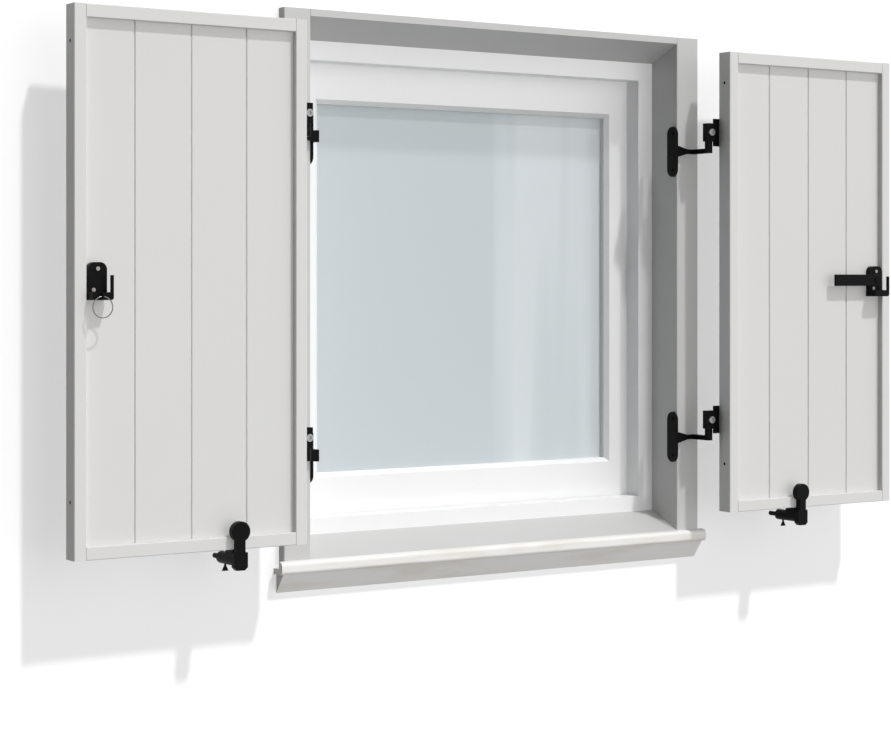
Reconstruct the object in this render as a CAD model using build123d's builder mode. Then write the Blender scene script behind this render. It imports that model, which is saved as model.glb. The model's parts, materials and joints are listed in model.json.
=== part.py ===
"""Pair of boarded window shutters, hung open on a window casing with sill, frame and sash.

Millimetres, +Z up, +X to the right seen from outside, -Y towards the street.
The origin is at the middle of the sill's flat underside.
Depths are counted from the front face of the casing, positive towards the room.
"""
import os

from build123d import *

# Casing
face_y = -105.0
opening_half = 554.0
jamb_face = 71.0
jamb_top_cover = 16.6
head_clearance = 26.4
head_slope = 44.4
sill_clearance = 52.7
sill_slope = 44.3
reveal_depth = 105.0
rebate = 30.0

# Sill
nose_overhang = 14.0
apron_overhang = 7.0
nose_reach = 16.0
nose_fall = 3.0
nose_height = 31.3
nose_radius = 9.0
bed_drop = 17.3
bed_height = 59.0
apron_front = 9.0
apron_lap = 1.0
apron_back = 25.0

# Window frame, sash and glass
frame_depth = 80.0
sash_depth = 68.0
fit_gap = 1.0
frame_face_side = 46.0
frame_face_top = 48.0
frame_face_bottom = 40.4
lip_depth = 50.0
lip_cover = 15.0
lip_gap = 2.0
sash_gap = 3.0
sash_side = 68.0
sash_top = 98.0
sash_bottom = 101.0
glass_setback = 24.0
glass_thickness = 24.0
glass_bite = 13.0
bevel = 11.0
edge_round = 2.5
glazing_play = 1.0

# Sash hinges and handle
sash_pin_x = 9.0
sash_pin_y = 8.0
sash_hinge_inset = 220.0
knuckle_radius = 7.0
knuckle_length = 40.0
sash_pin_radius = 3.5
rose_width = 30.0
rose_height = 70.0
rose_thickness = 9.0
handle_length = 120.0
handle_width = 20.0
handle_neck = 22.0
handle_grip = 14.0

# Leaves
leaf_height = 1200.0
leaf_overlap = 20.0
leaf_thickness = 44.0
leaf_standoff = 121.0
leaf_gap = 3.2
hinge_offset = 28.3
member_face = 29.0
panel_recess = 15.0
board_thickness = 16.0
board_housing = 18.0
board_count = 4
groove_depth = 17.5
groove_play = 0.5
tongue_length = 5.0
tongue_thickness = 5.0
tongue_play = 0.3
arris = 1.5
board_vee = 2.5

# Shutter hinges
upper_hinge_inset = 209.0
lower_hinge_inset = 240.0
pin_setback = 69.0
pin_radius = 6.0
running_play = 0.05
bearing_gap = 0.3
collar_radius = 10.0
plate_width = 40.0
plate_height = 132.0
plate_thickness = 5.0
plate_edge = -5.0
hinge_drop = 48.0
arm_thickness = 10.5
arm_height = 12.0
arm_root_height = 28.0
arm_gap = 3.5
arm_taper = 30.0
leg_width = 16.0
block_inner = 12.0
block_outer = 18.0
block_thickness = 22.0
block_height = 47.0
block_round = 3.0
strap_thickness = 5.0
strap_height = 72.0
strap_reach = 27.0
strap_lap = 6.0
bolt_head_radius = 9.0
bolt_head_height = 5.0
bolt_shank_radius = 3.0
bolt_shank_length = 4.0

# Screws
screw_head_radius = 4.5
screw_head_height = 2.5
screw_shank_radius = 2.0
screw_length = 20.0
short_screw_length = 14.0
edge_screw_length = 9.0
screw_play = 0.1
plate_screw_spread = 48.0
strap_screw_spread = 24.0
upper_edge_screw_inset = 80.0
lower_edge_screw_inset = 125.0
edge_screw_radius = 4.0

# Keeper on each leaf, bar and ring
keeper_bottom = -39.0
keeper_top = 43.0
keeper_thickness = 15.0
keeper_corner = 16.0
keeper_screw_low = 5.0
keeper_screw_side = 10.0
keeper_screw_high = 14.0
hook_width = 6.0
hook_height = 17.0
hook_gap = 16.0
hook_thickness = 6.0
hook_top = 15.0
left_keeper_width = 44.0
left_keeper_gap = 3.7
right_keeper_width = 45.7
right_keeper_gap = 0.5
bar_level = 4.7
bar_height = 31.0
bar_thickness = 6.0
bar_reach = 154.0
bar_pivot_inset = 26.7
bar_gap = 4.0
bar_pivot_radius = 5.0
bar_hub_radius = 15.5
pivot_head_radius = 8.0
pivot_head_height = 2.0
pivot_depth = 10.0
lug_thickness = 4.0
lug_low = 3.0
lug_high = 15.0
lug_reach = 4.4
lug_rim = 4.0
eye_radius = 2.6
ring_radius = 23.0
ring_wire = 1.3

# Stop and turn-button under each leaf
left_stop_inset = 178.8
right_stop_inset = 238.8
stop_drop = 24.6
tube_radius = 14.0
tube_rear = -41.0
saddle_width = 22.0
saddle_inset = 5.0
rod_radius = 6.0
rod_bore_depth = 62.0
rod_inside = 45.0
rod_end = -8.0
button_gap = 2.5
button_thickness = 15.5
button_head_radius = 23.0
button_head_level = 65.6
button_neck = 22.0
button_weight_width = 34.0
button_weight_up = 18.6
button_weight_down = 21.4
button_weight_chamfer = 7.0
stub_radius = 4.0
stub_length = 10.6
stub_end_gap = 0.4
wing_position = -60.0
wing_stem_radius = 2.5
wing_stem_length = 12.0
wing_width = 16.0
wing_height = 9.0
wing_thickness = 3.0

# Derived places
leaf_width = opening_half + leaf_overlap
pin_x = leaf_width + hinge_offset + leaf_gap / 2
hinge_edge = pin_x + hinge_offset
free_edge = hinge_edge + leaf_width
clear_width = leaf_width - 2 * member_face
board_pitch = (clear_width + 2 * board_housing) / board_count
head_front = leaf_height / 2 + head_clearance
head_back = head_front - head_slope
sill_front = -leaf_height / 2 - sill_clearance
sill_back = sill_front + sill_slope
mid_z = bed_height + bed_drop - sill_front
hinge_levels = {"upper": leaf_height / 2 - upper_hinge_inset, "lower": lower_hinge_inset - leaf_height / 2}
edge_screw_levels = (lower_edge_screw_inset - leaf_height / 2, leaf_height / 2 - upper_edge_screw_inset)
sash_hinge_z = leaf_height / 2 - sash_hinge_inset
left_keeper_left = left_keeper_gap + member_face - free_edge
left_keeper = (left_keeper_left, left_keeper_left + left_keeper_width)
right_keeper_right = free_edge - member_face - right_keeper_gap
right_keeper = (right_keeper_right - right_keeper_width, right_keeper_right)
bar_pivot_x = right_keeper_right - bar_pivot_inset
stop_positions = {"left": -hinge_edge - left_stop_inset, "right": hinge_edge + right_stop_inset}
opening_top = mid_z + head_front
opening_bottom = mid_z + sill_front
casing_half = opening_half + jamb_face
casing_top = opening_top + jamb_top_cover
casing_foot = bed_height
frame_front = face_y + reveal_depth
frame_back = frame_front + frame_depth
frame_half = opening_half + rebate - fit_gap
frame_top = mid_z + head_back + rebate - fit_gap
frame_bottom = mid_z + sill_back - rebate + fit_gap
light_half = opening_half - frame_face_side
light_top = mid_z + head_back - frame_face_top
light_bottom = mid_z + sill_back + frame_face_bottom
sash_front = frame_front + lip_depth + lip_gap
sash_back = sash_front + sash_depth
sash_half = light_half + lip_cover
sash_top_z = light_top + lip_cover
sash_bottom_z = light_bottom - lip_cover
glass_half = light_half - sash_side
glass_top = light_top - sash_top
glass_bottom = light_bottom + sash_bottom
glass_front = sash_front + glass_setback
glass_back = glass_front + glass_thickness
leaf_front = face_y - leaf_standoff
leaf_back = leaf_front + leaf_thickness
leaf_top = mid_z + leaf_height / 2
leaf_bottom = mid_z - leaf_height / 2
panel_front = leaf_front + panel_recess
pin_y = face_y - pin_setback
plate_y = face_y + plate_edge + plate_width / 2
stop_z = leaf_bottom - stop_drop
button_back = leaf_front - button_gap
keeper_front = panel_front - keeper_thickness
keeper_foot = mid_z + keeper_bottom
hook_front = keeper_front - hook_gap - hook_thickness
lug_y = hook_front - lug_reach
eye_z = keeper_foot + (lug_low + lug_high) / 2
ring_z = eye_z - eye_radius + ring_wire + screw_play
bar_back = keeper_front - bar_gap


def block(x, y, z, mode=Mode.ADD):
    """A rectangular block between the low and high values given for each axis."""
    with Locations(((x[0] + x[1]) / 2, (y[0] + y[1]) / 2, (z[0] + z[1]) / 2)):
        return Box(abs(x[1] - x[0]), y[1] - y[0], z[1] - z[0], mode=mode)


def front_plane(y):
    """A plane parallel to the facade at y: its x is world X, its y is world Z, its normal is -Y."""
    return Plane(origin=(0, y, 0), x_dir=(1, 0, 0), z_dir=(0, -1, 0))


def side_plane(x):
    """A plane across the facade at x: its x is world Y, its y is world Z, its normal is +X."""
    return Plane(origin=(x, 0, 0), x_dir=(0, 1, 0), z_dir=(1, 0, 0))


def save(builder, name):
    """Label the finished piece and write it under its own name."""
    builder.part.label = name
    export_step(builder.part, f"parts/{name}.step")


def drill(places, length):
    """Screw holes in the current part: each place is under a head, with the way the screw goes."""
    for place, direction in places:
        with Locations(Plane(origin=place, z_dir=direction)):
            Cylinder(screw_shank_radius + screw_play, 2 * (length + screw_play), mode=Mode.SUBTRACT)


def screws(places, length):
    """Round-head screws in the current part, at the places used for the holes."""
    for place, direction in places:
        with Locations(Plane(origin=place, z_dir=direction)):
            Cylinder(screw_shank_radius, length, align=(Align.CENTER, Align.CENTER, Align.MIN))
            Cylinder(screw_head_radius, screw_head_height, align=(Align.CENTER, Align.CENTER, Align.MAX))


def jamb_screw_places(side):
    """Screws through both jamb plates of one side."""
    x = side * (opening_half - plate_thickness)
    return [
        ((x, plate_y, mid_z + level - hinge_drop + spread), (side, 0, 0))
        for level in hinge_levels.values()
        for spread in (-plate_screw_spread, plate_screw_spread)
    ]


def strap_screw_places(side):
    """Screws through both hinge straps of one leaf."""
    x = side * (hinge_edge + member_face / 2)
    return [
        ((x, leaf_back + strap_thickness, mid_z + level + spread), (0, -1, 0))
        for level in hinge_levels.values()
        for spread in (-strap_screw_spread, strap_screw_spread)
    ]


def keeper_screw_places(span):
    """One screw at the top of a keeper and one low on its left."""
    middle = (span[0] + span[1]) / 2
    return [
        ((middle, keeper_front, mid_z + keeper_top - keeper_screw_high), (0, 1, 0)),
        ((middle - keeper_screw_side, keeper_front, keeper_foot + hook_height + keeper_screw_low), (0, 1, 0)),
    ]


def casing_jamb(side, name):
    """Upright of the casing, with the rebate that takes the window frame."""
    inner, outer = sorted((side * opening_half, side * casing_half))
    step = sorted((side * opening_half, side * (opening_half + rebate)))
    with BuildPart() as jamb:
        block((inner, outer), (face_y, frame_back), (casing_foot, casing_top))
        chamfer(jamb.edges().filter_by(Axis.Z).group_by(Axis.Y)[0], arris)
        seat = (frame_bottom - fit_gap, frame_top + fit_gap)
        block(step, (frame_front, frame_back), seat, mode=Mode.SUBTRACT)
        drill(jamb_screw_places(side), short_screw_length)
    save(jamb, name)


def casing_crosspiece(name, front, back, outer):
    """Head or bottom of the casing: a sloping inner face, and the rebate behind it."""
    lean = rebate if outer > front else -rebate
    back_z = mid_z + back
    with BuildPart() as crosspiece:
        with BuildSketch(side_plane(-opening_half)):
            with BuildLine():
                Polyline(
                    (face_y, front),
                    (frame_front, back_z),
                    (frame_front, back_z + lean),
                    (frame_back, back_z + lean),
                    (frame_back, outer),
                    (face_y, outer),
                    close=True,
                )
            make_face()
        extrude(amount=2 * opening_half)
    save(crosspiece, name)


def sill():
    """Projecting sill: a round-nosed slab over an apron that slopes back below it."""
    nose_y = face_y - nose_reach
    nose_foot = opening_bottom - nose_height
    nose_half = casing_half + nose_overhang
    apron_half = casing_half + apron_overhang
    with BuildPart() as piece:
        with BuildSketch(side_plane(-nose_half)):
            with BuildLine():
                Polyline(
                    (face_y, opening_bottom),
                    (nose_y, opening_bottom - nose_fall),
                    (nose_y, nose_foot),
                    (face_y + apron_back, nose_foot),
                    (face_y + apron_back, casing_foot),
                    (face_y, casing_foot),
                    close=True,
                )
            make_face()
        extrude(amount=2 * nose_half)
        fillet(piece.edges().filter_by(Axis.X).group_by(Axis.Y)[0], nose_radius)
        with BuildSketch(side_plane(-apron_half)):
            with BuildLine():
                Polyline(
                    (face_y - apron_front, nose_foot + apron_lap),
                    (face_y + apron_back, 0),
                    (frame_back, 0),
                    (frame_back, casing_foot),
                    (face_y + apron_lap, casing_foot),
                    (face_y + apron_lap, nose_foot + apron_lap),
                    close=True,
                )
            make_face()
        extrude(amount=2 * apron_half)
    save(piece, "sill")


def window_frame():
    """Fixed frame of the window: a front lip and a wider channel behind it for the sash."""
    middle = (frame_top + frame_bottom) / 2
    light_middle = (light_top + light_bottom) / 2
    channel_half = sash_half + sash_gap
    channel_height = sash_top_z - sash_bottom_z + 2 * sash_gap
    channel_middle = (sash_top_z + sash_bottom_z) / 2
    with BuildPart() as piece:
        with BuildSketch(front_plane(frame_back)):
            with Locations((0, middle)):
                Rectangle(2 * frame_half, frame_top - frame_bottom)
        extrude(amount=frame_depth)
        with BuildSketch(front_plane(frame_back)):
            with Locations((0, channel_middle)):
                Rectangle(2 * channel_half, channel_height)
        extrude(amount=frame_depth - lip_depth, mode=Mode.SUBTRACT)
        with BuildSketch(front_plane(frame_back)):
            with Locations((0, light_middle)):
                Rectangle(2 * light_half, light_top - light_bottom)
        extrude(amount=frame_depth, mode=Mode.SUBTRACT)
        face = piece.faces().sort_by(Axis.Y)[0]
        fillet(face.inner_wires()[0].edges(), edge_round)
    save(piece, "window_frame")


def window_sash():
    """Opening sash: a bevelled front lip around the glass and a pocket open to the room."""
    height = sash_top_z - sash_bottom_z
    middle = (sash_top_z + sash_bottom_z) / 2
    glass_height = glass_top - glass_bottom
    glass_middle = (glass_top + glass_bottom) / 2
    with BuildPart() as piece:
        with BuildSketch(front_plane(sash_back)):
            with Locations((0, middle)):
                Rectangle(2 * sash_half, height)
        extrude(amount=sash_depth)
        with BuildSketch(front_plane(sash_back)):
            with Locations((0, glass_middle)):
                Rectangle(2 * glass_half, glass_height)
        extrude(amount=sash_depth, mode=Mode.SUBTRACT)
        with BuildSketch(front_plane(sash_back)):
            with Locations((0, glass_middle)):
                Rectangle(2 * (glass_half + glass_bite), glass_height + 2 * glass_bite)
        extrude(amount=sash_depth - glass_setback, mode=Mode.SUBTRACT)
        face = piece.faces().sort_by(Axis.Y)[0]
        chamfer(face.inner_wires()[0].edges(), bevel)
        outer = piece.faces().sort_by(Axis.Y)[0].outer_wire().edges()
        fillet(outer, edge_round)
    save(piece, "window_sash")


def glass_pane():
    """Sealed double pane, held in the sash pocket."""
    bite = glass_bite - glazing_play
    with BuildPart() as piece:
        block(
            (-glass_half - bite, glass_half + bite),
            (glass_front, glass_back),
            (glass_bottom - bite, glass_top + bite),
        )
    save(piece, "glass_pane")


def glazing_beads():
    """Four beads that hold the glass from the room side, butted at the corners."""
    reach = glass_bite - glazing_play / 2
    with BuildPart() as beads:
        for side in (-1, 1):
            ends = sorted((side * glass_half, side * (glass_half + reach)))
            block(ends, (glass_back, sash_back), (glass_bottom, glass_top))
        for side, level in ((-1, glass_bottom), (1, glass_top)):
            ends = sorted((level + side * screw_play, level + side * reach))
            block((-glass_half - reach, glass_half + reach), (glass_back, sash_back), ends)
    save(beads, "glazing_beads")


def sash_hinges():
    """Pintles on the window frame and sleeves on the sash, on the room side."""
    x = sash_half + sash_pin_x
    y = sash_back + sash_pin_y
    levels = [mid_z - sash_hinge_z, mid_z + sash_hinge_z]
    half = knuckle_length / 2
    with BuildPart() as pintles:
        for z in levels:
            leaf = (x - knuckle_radius, x + 2 * knuckle_radius)
            block(leaf, (frame_back, y), (z - half, z - bearing_gap / 2))
            with Locations((x, y, z - half / 2 - bearing_gap / 4)):
                Cylinder(knuckle_radius, half - bearing_gap / 2)
            with Locations((x, y, z + half / 2 - half / 4)):
                Cylinder(sash_pin_radius, half * 1.5)
    save(pintles, "sash_hinge_pintles")
    with BuildPart() as sleeves:
        for z in levels:
            leaf = (x - 4 * knuckle_radius, x)
            block(leaf, (sash_back, y + sash_pin_y / 2), (z + bearing_gap / 2, z + half))
            with Locations((x, y, z + half / 2 + bearing_gap / 4)):
                Cylinder(knuckle_radius, half - bearing_gap / 2)
            with Locations((x, y, z + half / 2)):
                Cylinder(sash_pin_radius + running_play, 2 * half, mode=Mode.SUBTRACT)
    save(sleeves, "sash_hinge_sleeves")


def sash_handle():
    """Rose on the sash and the lever that turns in it, on the room side."""
    x = -(sash_half + glass_half + glass_bite) / 2
    y = sash_back + rose_thickness
    with BuildPart() as rose:
        with BuildSketch(front_plane(y)):
            with Locations((x, mid_z)):
                RectangleRounded(rose_width, rose_height, rose_width / 4)
        extrude(amount=rose_thickness)
        chamfer(rose.faces().sort_by(Axis.Y)[-1].outer_wire().edges(), arris)
    save(rose, "sash_handle_rose")
    neck_y = y + bearing_gap
    with BuildPart() as lever:
        with BuildSketch(front_plane(neck_y + handle_neck)):
            with Locations((x, mid_z)):
                Circle(handle_width / 2)
        extrude(amount=handle_neck)
        with BuildSketch(front_plane(neck_y + handle_neck)):
            with Locations((x, mid_z - handle_length / 2 + handle_width / 2)):
                SlotOverall(handle_length, handle_width, rotation=90)
        extrude(amount=-handle_grip)
        fillet(lever.faces().sort_by(Axis.Y)[-1].edges(), arris * 2)
    save(lever, "sash_handle_lever")


def member_outline():
    """Section of a leaf member: (from its outer edge, from its front) with the board groove inside."""
    back = panel_recess + board_thickness
    bottom = member_face - groove_depth
    return [
        (arris, 0),
        (member_face - arris, 0),
        (member_face, arris),
        (member_face, panel_recess),
        (bottom, panel_recess),
        (bottom, back),
        (member_face, back),
        (member_face, leaf_thickness - arris),
        (member_face - arris, leaf_thickness),
        (arris, leaf_thickness),
        (0, leaf_thickness - arris),
        (0, arris),
    ]


def leaf_members(name, side):
    """Two stiles over the full height and two rails between them."""
    mid_y = leaf_front + leaf_thickness / 2
    for place, edge, inward in (("hinge", hinge_edge, 1), ("meeting", free_edge, -1)):
        with BuildPart() as stile:
            with BuildSketch(Plane.XY.offset(leaf_bottom)):
                with BuildLine():
                    Polyline(
                        *[(side * (edge + inward * u), leaf_front + v) for u, v in member_outline()],
                        close=True,
                    )
                make_face()
            extrude(amount=leaf_height)
            solid = member_face - groove_depth
            plug = sorted((side * (edge + inward * solid), side * (edge + inward * member_face)))
            for low in (leaf_bottom, leaf_top - solid):
                block(plug, (panel_front, panel_front + board_thickness), (low, low + solid))
            for level in edge_screw_levels:
                plane = Plane(origin=(side * edge, mid_y, mid_z + level), z_dir=(side * inward, 0, 0))
                with BuildSketch(plane):
                    Circle(edge_screw_radius + screw_play)
                extrude(amount=screw_head_height, mode=Mode.SUBTRACT)
                with BuildSketch(plane):
                    Circle(screw_shank_radius + screw_play)
                extrude(amount=edge_screw_length, mode=Mode.SUBTRACT)
            if place == "hinge":
                drill(strap_screw_places(side), short_screw_length)
        save(stile, f"{name}_stile_{place}")
    start, end = sorted((side * (hinge_edge + member_face), side * (free_edge - member_face)))
    for place, level, inward in (("top", leaf_top, -1), ("bottom", leaf_bottom, 1)):
        with BuildPart() as rail:
            with BuildSketch(side_plane(start)):
                with BuildLine():
                    Polyline(*[(leaf_front + v, level + inward * u) for u, v in member_outline()], close=True)
                make_face()
            extrude(amount=end - start)
        save(rail, f"{name}_rail_{place}")


def leaf_boards(name, side, keeper_span):
    """Tongued and grooved boards that fill the leaf, with a small vee at each joint."""
    near = hinge_edge + member_face
    far = free_edge - member_face
    end_width = (far - near - (board_count - 2) * board_pitch) / 2
    middle = board_thickness / 2
    half_tongue = tongue_thickness / 2
    half_groove = half_tongue + tongue_play
    bite = groove_depth - groove_play
    bottom = leaf_bottom + member_face - bite
    for index in range(board_count):
        first = index == 0
        last = index == board_count - 1
        start = near - bite if first else near + end_width + (index - 1) * board_pitch
        end = far + bite if last else near + end_width + index * board_pitch
        outline = [(start, 0)] if first else [(start, board_vee), (start + board_vee, 0)]
        outline += [(end, 0)] if last else [(end - board_vee, 0), (end, board_vee)]
        if not last:
            outline += [
                (end, middle - half_tongue),
                (end + tongue_length, middle - half_tongue),
                (end + tongue_length, middle + half_tongue),
                (end, middle + half_tongue),
            ]
        outline += [(end, board_thickness), (start, board_thickness)]
        if not first:
            outline += [
                (start, middle + half_groove),
                (start + tongue_length + tongue_play, middle + half_groove),
                (start + tongue_length + tongue_play, middle - half_groove),
                (start, middle - half_groove),
            ]
        with BuildPart() as board:
            with BuildSketch(Plane.XY.offset(bottom)):
                with BuildLine():
                    Polyline(*[(side * u, panel_front + v) for u, v in outline], close=True)
                make_face()
            extrude(amount=leaf_height - 2 * member_face + 2 * bite)
            if last:
                drill(keeper_screw_places(keeper_span), screw_length)
        save(board, f"{name}_board_{index + 1}")


def jamb_plate(name, side, level):
    """Forged hinge part on the jamb: plate, tapered arm around the casing corner, upright pin."""
    z = mid_z + hinge_levels[level]
    arm_z = z - hinge_drop
    plate_x = opening_half - plate_thickness
    arm_y = (face_y - arm_gap - arm_thickness, face_y - arm_gap)
    root_x = sorted((side * (plate_x - arm_thickness), side * plate_x))
    taper_start = side * plate_x
    taper_end = side * (plate_x + arm_taper)
    reach = sorted((taper_end, side * (pin_x + collar_radius)))
    leg = sorted((side * (pin_x - leg_width / 2), side * (pin_x + leg_width / 2)))
    low, high = arm_z - arm_height / 2, arm_z + arm_height / 2
    block_bottom = z - block_height / 2
    pin_top = z + block_height / 2
    with BuildPart() as piece:
        with BuildSketch(side_plane(side * opening_half)):
            with Locations((plate_y, arm_z)):
                SlotOverall(plate_height, plate_width, rotation=90)
        extrude(amount=-side * plate_thickness)
        block(root_x, (arm_y[0], plate_y), (arm_z - arm_root_height / 2, arm_z + arm_root_height / 2))
        for x, height in ((taper_start, arm_root_height), (taper_end, arm_height)):
            with BuildSketch(side_plane(x)):
                with Locations(((arm_y[0] + arm_y[1]) / 2, arm_z)):
                    Rectangle(arm_thickness, height)
        loft()
        block(reach, arm_y, (low, high))
        block(leg, (pin_y, arm_y[1]), (low, high))
        with Locations((side * pin_x, pin_y, arm_z)):
            Cylinder(collar_radius, arm_height)
        with Locations((side * pin_x, pin_y, (high + block_bottom - bearing_gap) / 2)):
            Cylinder(collar_radius, block_bottom - bearing_gap - high)
        with Locations((side * pin_x, pin_y, (high + pin_top) / 2)):
            Cylinder(pin_radius, pin_top - high)
        drill(jamb_screw_places(side), short_screw_length)
    save(piece, f"{name}_jamb_plate_{level}")


def jamb_plate_screws():
    """The screws that hold the four jamb plates."""
    with BuildPart() as group:
        for side in (-1, 1):
            screws(jamb_screw_places(side), short_screw_length)
    save(group, "jamb_plate_screws")


def leaf_bracket(name, side, level):
    """Hinge part on the leaf: a bored block on a strap that is screwed to the back of the stile."""
    z = mid_z + hinge_levels[level]
    block_x = sorted((side * (pin_x - block_inner), side * (pin_x + block_outer)))
    strap_x = sorted((side * (pin_x + block_outer - strap_lap), side * (hinge_edge + strap_reach)))
    with BuildPart() as piece:
        block(
            block_x,
            (pin_y - block_thickness / 2, pin_y + block_thickness / 2),
            (z - block_height / 2, z + block_height / 2),
        )
        fillet(piece.edges().filter_by(Axis.Z), block_round)
        block(strap_x, (leaf_back, leaf_back + strap_thickness), (z - strap_height / 2, z + strap_height / 2))
        with Locations((side * pin_x, pin_y, z)):
            Cylinder(pin_radius + running_play, 2 * block_height, mode=Mode.SUBTRACT)
        bolt_plane = Plane(origin=(side * pin_x, pin_y - block_thickness / 2, z), z_dir=(0, 1, 0))
        with BuildSketch(bolt_plane):
            Circle(bolt_shank_radius + screw_play)
        extrude(amount=bolt_shank_length + screw_play, mode=Mode.SUBTRACT)
        drill(strap_screw_places(side), short_screw_length)
    save(piece, f"{name}_hinge_bracket_{level}")


def bracket_bolts(name, side):
    """Socket-head bolts on the front of the two hinge blocks of a leaf."""
    with BuildPart() as group:
        for offset in hinge_levels.values():
            plane = Plane(origin=(side * pin_x, pin_y - block_thickness / 2, mid_z + offset), z_dir=(0, 1, 0))
            with BuildSketch(plane):
                Circle(bolt_shank_radius)
            extrude(amount=bolt_shank_length)
            with BuildSketch(plane):
                Circle(bolt_head_radius)
            extrude(amount=-bolt_head_height)
            with BuildSketch(plane.offset(-bolt_head_height)):
                RegularPolygon(bolt_head_radius / 2, 6)
            extrude(amount=bolt_head_height * 0.6, mode=Mode.SUBTRACT)
    save(group, f"{name}_bracket_bolts")


def edge_screws(name, side):
    """Assembly screws sunk in the outer edges of the stiles."""
    mid_y = leaf_front + leaf_thickness / 2
    with BuildPart() as group:
        for edge, inward in ((hinge_edge, 1), (free_edge, -1)):
            for level in edge_screw_levels:
                plane = Plane(origin=(side * edge, mid_y, mid_z + level), z_dir=(side * inward, 0, 0))
                with BuildSketch(plane.offset(screw_play)):
                    Circle(edge_screw_radius)
                extrude(amount=screw_head_height - screw_play)
                with BuildSketch(plane.offset(screw_head_height)):
                    Circle(screw_shank_radius)
                extrude(amount=edge_screw_length - screw_head_height - screw_play)
    save(group, f"{name}_edge_screws")


def leaf_screws(name, side, keeper_span):
    """Round-head screws of the hinge straps and of the keeper of a leaf."""
    with BuildPart() as group:
        screws(strap_screw_places(side), short_screw_length)
        screws(keeper_screw_places(keeper_span), screw_length)
    save(group, f"{name}_screws")


def keeper(name, span, with_lug):
    """Keeper on the boards of a leaf: a rounded back plate with an upturned hook at its right end."""
    left, right = span
    low = keeper_foot
    middle = (left + right) / 2
    hook_x = (right, right + hook_width)
    with BuildPart() as piece:
        block(span, (keeper_front, panel_front), (low, mid_z + keeper_top))
        fillet(piece.edges().filter_by(Axis.Y).group_by(Axis.Z)[-1], keeper_corner)
        block((left, hook_x[1]), (hook_front, keeper_front), (low, low + hook_height))
        block(hook_x, (hook_front, hook_front + hook_thickness), (low, mid_z + hook_top))
        fillet(piece.edges().filter_by(Axis.Y).group_by(Axis.X)[-1].sort_by(Axis.Z)[0], hook_thickness)
        if with_lug:
            lug_x = (middle - lug_thickness / 2, middle + lug_thickness / 2)
            block(lug_x, (lug_y - lug_rim, hook_front), (low + lug_low, low + lug_high))
            with Locations((middle, lug_y, eye_z)):
                Cylinder(eye_radius, 2 * lug_thickness, rotation=(0, 90, 0), mode=Mode.SUBTRACT)
        else:
            with BuildSketch(front_plane(keeper_front + pivot_depth)):
                with Locations((bar_pivot_x, mid_z + bar_level)):
                    Circle(bar_pivot_radius)
            extrude(amount=pivot_depth, mode=Mode.SUBTRACT)
        drill(keeper_screw_places(span), screw_length)
    save(piece, f"{name}_keeper")


def bar_pivot():
    """Headed pivot pressed into the right-hand keeper, on which the bar turns."""
    with BuildPart() as pivot:
        with BuildSketch(front_plane(keeper_front + pivot_depth)):
            with Locations((bar_pivot_x, mid_z + bar_level)):
                Circle(bar_pivot_radius)
        extrude(amount=pivot_depth + bar_gap + bar_thickness + bearing_gap)
        with BuildSketch(front_plane(bar_back - bar_thickness - bearing_gap)):
            with Locations((bar_pivot_x, mid_z + bar_level)):
                Circle(pivot_head_radius)
        extrude(amount=pivot_head_height)
        chamfer(pivot.faces().sort_by(Axis.Y)[0].edges(), pivot_head_height / 3)
        with BuildSketch(front_plane(keeper_front)):
            with Locations((bar_pivot_x, mid_z + bar_level)):
                Circle(pivot_head_radius)
        extrude(amount=bar_gap - bearing_gap)
    save(pivot, "right_bar_pivot")


def latch_bar():
    """Bar that turns on the stud of the right-hand keeper and drops into both keepers."""
    z = mid_z + bar_level
    with BuildPart() as bar:
        with BuildSketch(front_plane(bar_back)):
            with Locations((bar_pivot_x, z)):
                Circle(bar_hub_radius)
            with Locations((bar_pivot_x - bar_reach / 2, z)):
                Rectangle(bar_reach, bar_height)
            with Locations((bar_pivot_x, z)):
                Circle(bar_pivot_radius + running_play, mode=Mode.SUBTRACT)
        extrude(amount=bar_thickness)
        tip = bar.edges().filter_by(Axis.Y).group_by(Axis.X)[0]
        chamfer(tip, arris)
        chamfer(bar.faces().sort_by(Axis.Y)[0].outer_wire().edges(), 1)
    save(bar, "right_latch_bar")


def keeper_ring():
    """Round wire ring that hangs in the eye of the left-hand keeper."""
    centre = ((left_keeper[0] + left_keeper[1]) / 2, lug_y, ring_z - ring_radius)
    with BuildPart() as ring:
        with Locations(centre):
            Torus(ring_radius, ring_wire, rotation=(90, 0, 0))
    save(ring, "left_keeper_ring")


def stop_tube(name, x):
    """Tube under the bottom rail: a saddle above, a bore behind for the stop, a stub in front."""
    rear = face_y + tube_rear
    with BuildPart() as tube:
        with BuildSketch(front_plane(rear)):
            with Locations((x, stop_z)):
                Circle(tube_radius)
        extrude(amount=rear - button_back - bearing_gap)
        block(
            (x - saddle_width / 2, x + saddle_width / 2),
            (leaf_front + saddle_inset, leaf_back - saddle_inset),
            (stop_z, leaf_bottom),
        )
        with BuildSketch(front_plane(button_back + bearing_gap)):
            with Locations((x, stop_z)):
                Circle(stub_radius)
        extrude(amount=stub_length)
        with BuildSketch(front_plane(rear)):
            with Locations((x, stop_z)):
                Circle(rod_radius + running_play)
        extrude(amount=rod_bore_depth, mode=Mode.SUBTRACT)
        wing_y = face_y + wing_position
        with BuildSketch(Plane.XY.offset(stop_z - tube_radius - 1)):
            with Locations((x, wing_y)):
                Circle(wing_stem_radius + screw_play)
        extrude(amount=tube_radius - rod_radius + 2, mode=Mode.SUBTRACT)
        rims = tube.edges().filter_by(GeomType.CIRCLE).group_by(Axis.Y)[-1]
        chamfer(rims.sort_by(SortBy.RADIUS)[-1], arris)
    save(tube, f"{name}_stop_tube")


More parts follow.
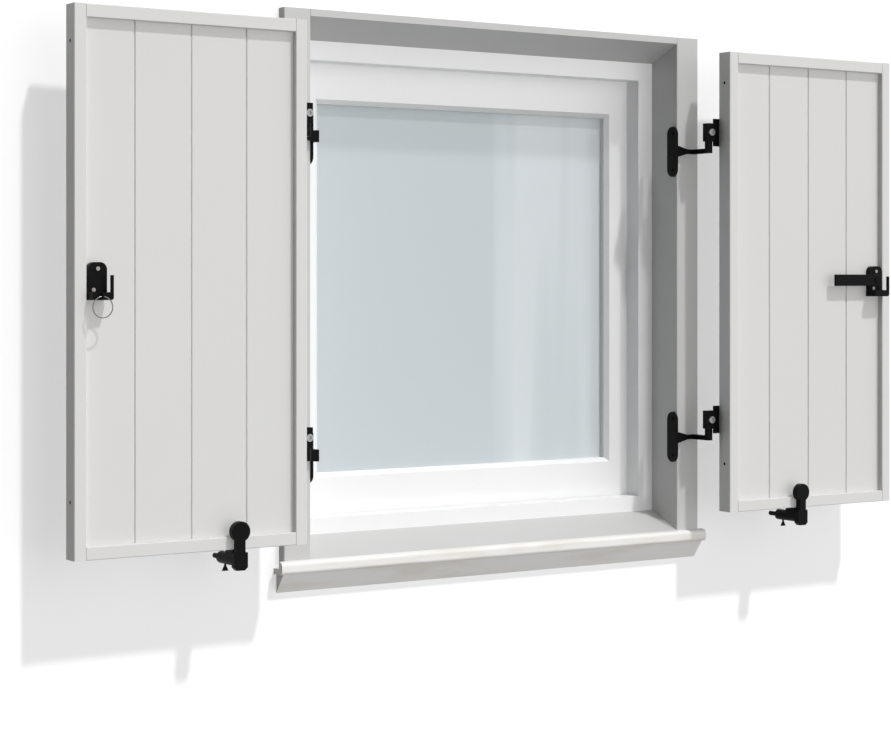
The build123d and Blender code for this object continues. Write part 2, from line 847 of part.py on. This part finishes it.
def stop_rod(name, x):
    """Adjustable rod behind the open leaf, which sets how far the leaf folds back."""
    start = face_y + tube_rear - rod_inside
    with BuildPart() as rod:
        with BuildSketch(front_plane(face_y + rod_end)):
            with Locations((x, stop_z)):
                Circle(rod_radius)
        extrude(amount=face_y + rod_end - start)
        chamfer(rod.edges().filter_by(GeomType.CIRCLE), 1)
    save(rod, f"{name}_stop_rod")


def wing_screw(name, x):
    """Wing screw below the tube that clamps the stop rod."""
    y = face_y + wing_position
    top = stop_z - rod_radius - 2 * bearing_gap
    bottom = stop_z - tube_radius - wing_stem_length / 2
    with BuildPart() as piece:
        with BuildSketch(Plane.XY.offset(bottom)):
            with Locations((x, y)):
                Circle(wing_stem_radius)
        extrude(amount=top - bottom)
        with BuildSketch(front_plane(y + wing_thickness / 2)):
            with Locations((x, bottom - wing_height / 2)):
                Trapezoid(wing_width, wing_height + 2, 65, rotation=0)
        extrude(amount=wing_thickness)
    save(piece, f"{name}_wing_screw")


def turn_button(name, x):
    """Turn-button on the front of the tube: a round head over the rail and a weight below."""
    head_z = stop_z + button_head_level
    with BuildPart() as button:
        with BuildSketch(front_plane(button_back)):
            with Locations((x, head_z)):
                Circle(button_head_radius)
            with Locations((x, (head_z + stop_z) / 2)):
                Rectangle(button_neck, button_head_level)
            with Locations((x, stop_z + (button_weight_up - button_weight_down) / 2)):
                Rectangle(button_weight_width, button_weight_up + button_weight_down)
        extrude(amount=button_thickness)
        weight = button.edges().filter_by(Axis.Y).group_by(Axis.Z)[0]
        chamfer(weight, button_weight_chamfer)
        chamfer(button.faces().sort_by(Axis.Y)[0].outer_wire().edges(), 1.2)
        with BuildSketch(front_plane(button_back)):
            with Locations((x, stop_z)):
                Circle(stub_radius + running_play)
        extrude(amount=stub_length + stub_end_gap, mode=Mode.SUBTRACT)
    save(button, f"{name}_turn_button")


os.makedirs("parts", exist_ok=True)

casing_jamb(-1, "casing_jamb_left")
casing_jamb(1, "casing_jamb_right")
casing_crosspiece("casing_head", opening_top, head_back, casing_top)
casing_crosspiece("casing_bottom", opening_bottom, sill_back, casing_foot)
sill()
window_frame()
window_sash()
glass_pane()
glazing_beads()
sash_hinges()
sash_handle()
jamb_plate_screws()

for leaf, hand in (("left", -1), ("right", 1)):
    leaf_members(leaf, hand)
    leaf_boards(leaf, hand, left_keeper if leaf == "left" else right_keeper)
    for height_name in hinge_levels:
        jamb_plate(leaf, hand, height_name)
        leaf_bracket(leaf, hand, height_name)
    bracket_bolts(leaf, hand)
    edge_screws(leaf, hand)
    stop_tube(leaf, stop_positions[leaf])
    stop_rod(leaf, stop_positions[leaf])
    wing_screw(leaf, stop_positions[leaf])
    turn_button(leaf, stop_positions[leaf])

keeper("left", left_keeper, with_lug=True)
keeper("right", right_keeper, with_lug=False)
bar_pivot()
leaf_screws("left", -1, left_keeper)
leaf_screws("right", 1, right_keeper)
latch_bar()
keeper_ring()
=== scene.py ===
"""Looks of the boarded shutters: painted wood, black ironwork, bright steel and glass.

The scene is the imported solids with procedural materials, a soft sun from the upper right, a pale
backdrop around the casing, and the camera at the place from which the photograph shows the window.
Metres, +Z up, +X to the right seen from outside, -Y towards the street.
"""
import json
import math

import bpy
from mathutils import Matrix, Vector

# Paint: scales are in waves per metre, depths in metres
drift_scale = 3.0
drift_fall = 0.985
wood_grain = (40, 40, 2)
grain_scale = 6.0
grain_depth = 0.0004
stain_scale = 16.0
stain_stretch = (0.35, 2, 2)
stain_detail = 8
stain_span = (0.36, 0.52)

# Metal
speckle_scale = 300.0
speckle_detail = 6
speckle_lift = 1.15
speckle_depth = 0.0003
metal_relief = 0.05

# Glass: a blue-grey pane with painted reflections, lighter upright streaks that grow towards its
# right side
reflection_streak_scale = 4.0
reflection_streak_stretch = (2.2, 1, 0.12)
reflection_streak_detail = 1.5
reflection_streak_span = (0.35, 0.6)
# Span of X over which the painted reflection fades in towards the pane's right side
reflection_streak_side = (-0.05, 0.1)
glass_base_colour = (0.53, 0.58, 0.60)
# Lighter colour of the painted reflection streaks in the pane
painted_reflection_colour = (0.63, 0.67, 0.69)
glass_tint = (0.9, 0.95, 0.96)
glass_roughness = 0.08
glass_cover = 0.88

# Backdrop: a plane round the casing's outline, which the sides of the casing pass
backdrop_y = -0.080
casing_half = 0.6249
casing_top = 1.3718
backdrop_reach = 9.0
backdrop_colour = (0.82, 0.82, 0.83)
backdrop_glow = 0.16
bounce_colour = (0.3, 0.3, 0.3)

# Surroundings: brighter from +X than from -X
world_span = (-0.6, 0.8)
world_level = (0.1, 0.7)

# Lamps: directions of the light, strengths, and angles in degrees
sun_direction = (-0.22, 0.52, -0.86)
sun_energy = 1.0
sun_angle = 3
fill_direction = (-0.45, 0.85, -0.25)
fill_energy = 1.5
fill_angle = 60
back_direction = (0.15, -0.9, -0.4)
back_energy = 1.2
back_angle = 40
passed_by_sun = ("casing_head", "casing_jamb_left", "casing_jamb_right", "window_frame")

# Camera
camera_place = (-3.131, -4.6099, 0.729)
camera_turn = -33.28
camera_lens = 88.93
camera_sensor = 36
camera_shift = -0.1072
camera_reach = 100

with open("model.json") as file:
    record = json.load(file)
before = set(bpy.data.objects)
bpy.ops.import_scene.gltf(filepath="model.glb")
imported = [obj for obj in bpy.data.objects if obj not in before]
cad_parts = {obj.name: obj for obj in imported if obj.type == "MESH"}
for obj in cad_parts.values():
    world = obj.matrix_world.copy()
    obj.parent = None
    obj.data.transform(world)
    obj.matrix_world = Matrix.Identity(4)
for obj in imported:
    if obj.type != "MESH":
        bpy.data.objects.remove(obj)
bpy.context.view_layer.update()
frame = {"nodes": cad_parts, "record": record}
nodes = frame["nodes"]


def set_inputs(node, values):
    """Set the node's inputs by name. A colour gets its alpha here."""
    for name, value in values.items():
        is_colour = node.inputs[name].type == "RGBA"
        node.inputs[name].default_value = (*value, 1) if is_colour else value


def new_material(name):
    """An empty node material with its output and principled shader."""
    material = bpy.data.materials.new(name)
    material.use_nodes = True
    tree = material.node_tree
    tree.nodes.clear()
    output = tree.nodes.new("ShaderNodeOutputMaterial")
    shader = tree.nodes.new("ShaderNodeBsdfPrincipled")
    tree.links.new(shader.outputs["BSDF"], output.inputs["Surface"])
    return material, tree, output, shader


def calculate(tree, operation, first, second):
    """Result of a Math node on a socket and another socket or a number."""
    node = tree.nodes.new("ShaderNodeMath")
    node.operation = operation
    tree.links.new(first, node.inputs[0])
    if isinstance(second, float):
        node.inputs[1].default_value = second
    else:
        tree.links.new(second, node.inputs[1])
    return node.outputs["Value"]


def mixed(tree, factor, first, second):
    """Mix of two shaders by a socket or a number, from the first to the second."""
    node = tree.nodes.new("ShaderNodeMixShader")
    if isinstance(factor, float):
        node.inputs["Fac"].default_value = factor
    else:
        tree.links.new(factor, node.inputs["Fac"])
    tree.links.new(first, node.inputs[1])
    tree.links.new(second, node.inputs[2])
    return node.outputs["Shader"]


def along_x(tree, coordinates, span, level=(0.0, 1.0)):
    """Level that goes from one value to another over a span of the coordinates' X."""
    place = tree.nodes.new("ShaderNodeTexCoord")
    split = tree.nodes.new("ShaderNodeSeparateXYZ")
    tree.links.new(place.outputs[coordinates], split.inputs["Vector"])
    node = tree.nodes.new("ShaderNodeMapRange")
    set_inputs(node, {"From Min": span[0], "From Max": span[1],
                      "To Min": level[0], "To Max": level[1]})
    tree.links.new(split.outputs["X"], node.inputs["Value"])
    return node.outputs["Result"]


def ramp(tree, source, low, high, span=(0.3, 0.7)):
    """Colour ramp from one colour to another over a span of the source."""
    node = tree.nodes.new("ShaderNodeValToRGB")
    for element, position, colour in zip(node.color_ramp.elements, span, (low, high)):
        element.position = position
        element.color = (*colour, 1)
    tree.links.new(source, node.inputs["Fac"])
    return node.outputs["Color"]


def noise(tree, scale, stretch=(1, 1, 1), detail=4):
    """Noise in object space, stretched by the factors given for each axis."""
    place = tree.nodes.new("ShaderNodeTexCoord")
    mapping = tree.nodes.new("ShaderNodeMapping")
    mapping.inputs["Scale"].default_value = stretch
    texture = tree.nodes.new("ShaderNodeTexNoise")
    set_inputs(texture, {"Scale": scale, "Detail": detail})
    tree.links.new(place.outputs["Object"], mapping.inputs["Vector"])
    tree.links.new(mapping.outputs["Vector"], texture.inputs["Vector"])
    return texture.outputs["Fac"]


def bump(tree, shader, source, strength, distance):
    """Fine relief from the source on the shader's normal."""
    node = tree.nodes.new("ShaderNodeBump")
    set_inputs(node, {"Strength": strength, "Distance": distance})
    tree.links.new(source, node.inputs["Height"])
    tree.links.new(node.outputs["Normal"], shader.inputs["Normal"])


def painted(name, colour, roughness=0.45, relief=0.12, stain=None):
    """Satin paint over wood: a drift of tone, or a stain in streaks, and a faint grain."""
    material, tree, output, shader = new_material(name)
    if stain:
        streaks = noise(tree, stain_scale, stain_stretch, stain_detail)
        tone = ramp(tree, streaks, stain, colour, stain_span)
    else:
        low = tuple(c * drift_fall for c in colour)
        tone = ramp(tree, noise(tree, drift_scale), low, colour)
    tree.links.new(tone, shader.inputs["Base Color"])
    set_inputs(shader, {"Roughness": roughness})
    bump(tree, shader, noise(tree, grain_scale, wood_grain), relief, grain_depth)
    return material


def metal(name, colour, metallic, roughness, specular=0.5, relief=metal_relief):
    """Ironwork or steel with a fine, irregular surface."""
    material, tree, output, shader = new_material(name)
    speckle = noise(tree, speckle_scale, detail=speckle_detail)
    high = tuple(min(1.0, c * speckle_lift) for c in colour)
    tree.links.new(ramp(tree, speckle, colour, high), shader.inputs["Base Color"])
    set_inputs(shader, {"Metallic": metallic, "Specular IOR Level": specular,
                        "Roughness": roughness})
    bump(tree, shader, speckle, relief, speckle_depth)
    return material


def pane(name):
    """Pale blue-grey glass with painted reflections: soft upright light streaks towards its right
    side.
    """
    material, tree, output, shader = new_material(name)
    # Painted reflection: lighter upright streaks in the base colour, masked to the pane's right
    # side
    streaks = calculate(tree, "MULTIPLY",
                        noise(tree, reflection_streak_scale, reflection_streak_stretch, reflection_streak_detail),
                        along_x(tree, "Object", reflection_streak_side))
    tree.links.new(ramp(tree, streaks, glass_base_colour, painted_reflection_colour, reflection_streak_span),
                   shader.inputs["Base Color"])
    set_inputs(shader, {"Roughness": glass_roughness})
    clear = tree.nodes.new("ShaderNodeBsdfTransparent")
    set_inputs(clear, {"Color": glass_tint})
    surface = mixed(tree, glass_cover, clear.outputs["BSDF"], shader.outputs["BSDF"])
    tree.links.new(surface, output.inputs["Surface"])
    return material


looks = {
    "casing_paint": painted("casing_paint", (0.50, 0.497, 0.493)),
    "sill_paint": painted("sill_paint", (0.74, 0.73, 0.71), relief=0.3,
                          stain=(0.68, 0.655, 0.61)),
    "window_paint": painted("window_paint", (0.77, 0.77, 0.775), roughness=0.3, relief=0.02),
    "leaf_paint": painted("leaf_paint", (0.61, 0.605, 0.597)),
    "black_iron": metal("black_iron", (0.003, 0.003, 0.0032), metallic=0.0, roughness=0.35,
                        specular=0.08, relief=0.15),
    "bright_steel": metal("bright_steel", (0.38, 0.38, 0.38), metallic=1.0, roughness=0.3),
    "glass": pane("glass"),
}
screw_steel = metal("screw_steel", (0.3, 0.28, 0.275), metallic=0.6, roughness=0.4)
ring_steel = metal("ring_steel", (0.2, 0.2, 0.2), metallic=1.0, roughness=0.2)
own_looks = {
    "left_screws": screw_steel,
    "right_screws": screw_steel,
    "left_keeper_ring": ring_steel,
}
slots = {entry["node"]: entry["material_slot"] for entry in frame["record"]["subparts"]}
for name, piece in nodes.items():
    piece.data.materials.clear()
    piece.data.materials.append(own_looks.get(name, looks[slots[name]]))


def seen_by(tree):
    """Whether a ray is a camera ray, and whether it is a camera or a glossy ray."""
    rays = tree.nodes.new("ShaderNodeLightPath")
    camera_ray = rays.outputs["Is Camera Ray"]
    return camera_ray, calculate(tree, "MAXIMUM", camera_ray, rays.outputs["Is Glossy Ray"])


def backdrop_paint(name):
    """White to the camera and in reflections, grey to other light, unseen from behind."""
    material, tree, output, shader = new_material(name)
    camera_ray, seen = seen_by(tree)
    set_inputs(shader, {"Base Color": backdrop_colour, "Roughness": 1.0,
                        "Specular IOR Level": 0.0, "Emission Color": (1, 1, 1)})
    tree.links.new(calculate(tree, "MULTIPLY", camera_ray, backdrop_glow),
                   shader.inputs["Emission Strength"])
    dull = tree.nodes.new("ShaderNodeBsdfDiffuse")
    set_inputs(dull, {"Color": bounce_colour})
    front = mixed(tree, seen, dull.outputs["BSDF"], shader.outputs["BSDF"])
    face = tree.nodes.new("ShaderNodeNewGeometry")
    behind = calculate(tree, "MULTIPLY", face.outputs["Backfacing"], camera_ray)
    nothing = tree.nodes.new("ShaderNodeBsdfTransparent")
    tree.links.new(mixed(tree, behind, front, nothing.outputs["BSDF"]),
                   output.inputs["Surface"])
    return material


def backdrop(name, rectangles):
    """Flat upright mesh of rectangles, each given by its left, right, foot and top."""
    points = []
    for x0, x1, z0, z1 in rectangles:
        points += [(x, backdrop_y, z) for x, z in ((x0, z0), (x1, z0), (x1, z1), (x0, z1))]
    faces = [tuple(range(first, first + 4)) for first in range(0, len(points), 4)]
    mesh = bpy.data.meshes.new(name)
    mesh.from_pydata(points, [], faces)
    piece = bpy.data.objects.new(name, mesh)
    bpy.context.collection.objects.link(piece)
    return piece


wall = backdrop("backdrop", [
    (-backdrop_reach, -casing_half, -backdrop_reach, backdrop_reach),
    (casing_half, backdrop_reach, -backdrop_reach, backdrop_reach),
    (-casing_half, casing_half, casing_top, backdrop_reach),
    (-casing_half, casing_half, -backdrop_reach, 0.0),
])
wall.data.materials.append(backdrop_paint("stage_white"))

world = bpy.data.worlds.new("world")
bpy.context.scene.world = world
world.use_nodes = True
tree = world.node_tree
background = tree.nodes["Background"]
background.inputs["Strength"].default_value = 1.0
side = along_x(tree, "Generated", world_span, world_level)
camera_ray, seen = seen_by(tree)
tree.links.new(calculate(tree, "MAXIMUM", seen, side), background.inputs["Color"])


def sun_light(name, energy, degrees, shadow=True):
    """Light of a sun lamp, whose angle is given in degrees."""
    light = bpy.data.lights.new(name, "SUN")
    light.energy = energy
    light.angle = math.radians(degrees)
    light.use_shadow = shadow
    return light


def shine(name, light, direction, glossy=True, passed=()):
    """Lamp whose light goes along the direction and through the pieces passed."""
    lamp = bpy.data.objects.new(name, light)
    lamp.rotation_euler = Vector(direction).to_track_quat("-Z", "Y").to_euler()
    lamp.visible_glossy = glossy
    bpy.context.collection.objects.link(lamp)
    if passed:
        blockers = bpy.data.collections.new(name + "_blockers")
        for piece in passed:
            blockers.objects.link(piece)
        for entry in blockers.collection_objects:
            entry.light_linking.link_state = "EXCLUDE"
        lamp.light_linking.blocker_collection = blockers


sun = sun_light("sun", sun_energy, sun_angle)
fill = sun_light("fill", fill_energy, fill_angle, shadow=False)
back = sun_light("back", back_energy, back_angle)
shine("sun", sun, sun_direction, passed=[wall])
shine("soft_sun", sun, sun_direction, passed=[wall] + [nodes[name] for name in passed_by_sun])
shine("fill", fill, fill_direction, glossy=False)
shine("back", back, back_direction, glossy=False, passed=[wall])

camera_data = bpy.data.cameras.new("camera")
camera_data.lens = camera_lens
camera_data.sensor_width = camera_sensor
camera_data.shift_y = camera_shift
camera_data.clip_end = camera_reach
camera = bpy.data.objects.new("camera", camera_data)
camera.location = camera_place
camera.rotation_euler = (math.radians(90), 0, math.radians(camera_turn))
bpy.context.collection.objects.link(camera)
bpy.context.scene.camera = camera
bpy.context.scene.view_settings.view_transform = "Standard"
bpy.context.scene.view_settings.look = "None"
